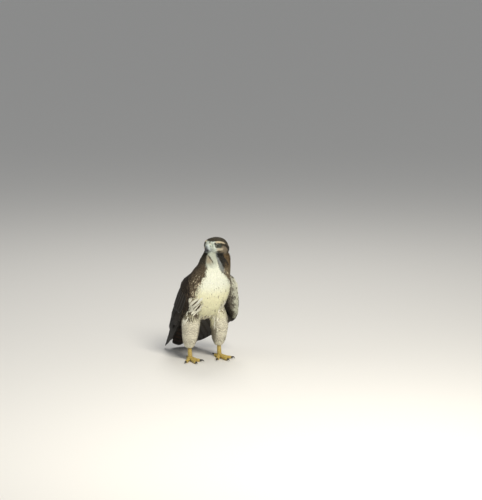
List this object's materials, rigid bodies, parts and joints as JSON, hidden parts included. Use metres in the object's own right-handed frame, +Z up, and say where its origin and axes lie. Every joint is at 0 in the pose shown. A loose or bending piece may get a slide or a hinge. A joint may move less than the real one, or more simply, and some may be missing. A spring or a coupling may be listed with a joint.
{
  "type": "red tailed hawk",
  "caption": "Life-size standing hawk with drooped wings, head turned aside, hooked bill, feathered legs and clawed feet flat on the ground.",
  "frame": {"origin": "centre of the model's box, at floor level", "axes": "+Z up, the bird's chest faces -Y, its left side is +X"},
  "size_m": [0.2164, 0.3122, 0.4091],
  "materials": {
    "dark_feathers": "matte",
    "pale_feathers": "matte",
    "cere_skin": "satin",
    "foot_skin": "satin",
    "horn": "satin",
    "eye": "wet gloss"
  },
  "bodies": {
    "root": {"torso": "pale_feathers", "neck": "dark_feathers", "head": "dark_feathers", "tail": "dark_feathers", "cere": "cere_skin", "bill_upper": "horn", "bill_lower": "horn", "eye_right": "eye", "wing_right": "dark_feathers", "leg_right": "pale_feathers", "shank_right": "foot_skin", "foot_right": "foot_skin", "claw_right_inner": "horn", "claw_right_middle": "horn", "claw_right_outer": "horn", "claw_right_hind": "horn", "eye_left": "eye", "wing_left": "dark_feathers", "leg_left": "pale_feathers", "shank_left": "foot_skin", "foot_left": "foot_skin", "claw_left_inner": "horn", "claw_left_middle": "horn", "claw_left_outer": "horn", "claw_left_hind": "horn"}
  },
  "joints": []
}
